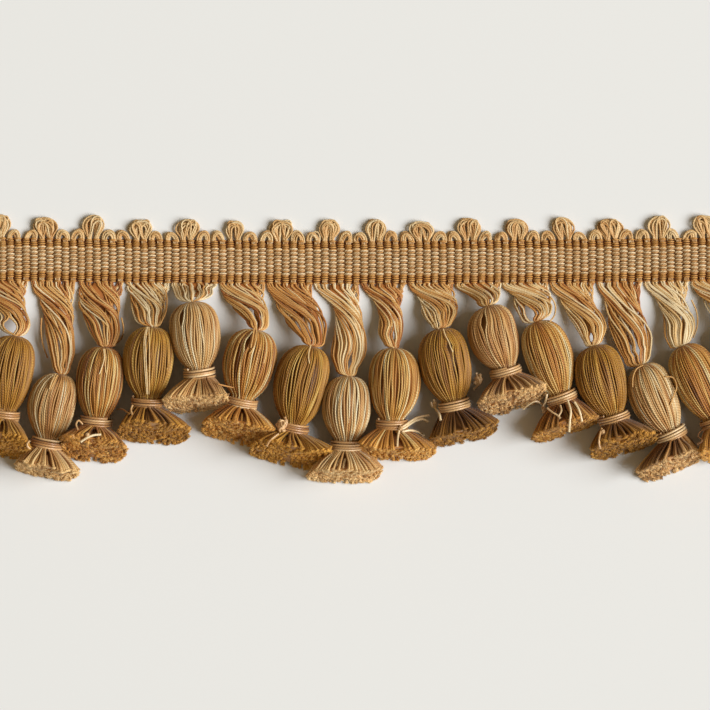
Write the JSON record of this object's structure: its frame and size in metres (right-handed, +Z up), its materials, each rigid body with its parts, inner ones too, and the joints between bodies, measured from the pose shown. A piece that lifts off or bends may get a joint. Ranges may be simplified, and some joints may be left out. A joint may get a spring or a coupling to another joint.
{
  "type": "onion fringe",
  "caption": "Cut length of furnishing fringe lying flat: a ribbed braid with a looped edge, and onion-shaped yarn tassels with bound necks and cut skirts on looped skeins.",
  "frame": {"origin": "middle of the braid's back face, on the surface that the fringe lies on", "axes": "+X along the braid, +Y from the tassels towards the looped edge, +Z up out of the braid's face"},
  "size_m": [0.2917, 0.0951, 0.02],
  "materials": {
    "braid": "ribbed weave of tan and straw yarn with dark gold edges",
    "loops": "tan and gold plied yarn, soft lustre",
    "skein": "tan, gold and straw plied yarn, soft lustre",
    "tassel_olive": "dark olive gold yarn with a few tan strands",
    "tassel_pale": "pale pinkish beige yarn with cream strands",
    "tassel_gold": "gold yarn mixed with straw strands",
    "tie": "pale tan yarn wound in a few turns"
  },
  "bodies": {
    "root": {"braid": "braid", "looped_edge": "loops", "skein_01": "skein", "tassel_01": "tassel_olive", "tie_01": "tie", "skein_02": "skein", "tassel_02": "tassel_pale", "tie_02": "tie", "skein_03": "skein", "tassel_03": "tassel_gold", "tie_03": "tie", "skein_04": "skein", "tassel_04": "tassel_olive", "tie_04": "tie", "skein_05": "skein", "tassel_05": "tassel_pale", "tie_05": "tie", "skein_06": "skein", "tassel_06": "tassel_gold", "tie_06": "tie", "skein_07": "skein", "tassel_07": "tassel_olive", "tie_07": "tie", "skein_08": "skein", "tassel_08": "tassel_pale", "tie_08": "tie", "skein_09": "skein", "tassel_09": "tassel_gold", "tie_09": "tie", "skein_10": "skein", "tassel_10": "tassel_olive", "tie_10": "tie", "skein_11": "skein", "tassel_11": "tassel_pale", "tie_11": "tie", "skein_12": "skein", "tassel_12": "tassel_gold", "tie_12": "tie", "skein_13": "skein", "tassel_13": "tassel_olive", "tie_13": "tie", "skein_14": "skein", "tassel_14": "tassel_pale", "tie_14": "tie", "skein_15": "skein", "tassel_15": "tassel_gold", "tie_15": "tie", "skein_16": "skein", "tassel_16": "tassel_olive", "tie_16": "tie"}
  },
  "joints": []
}
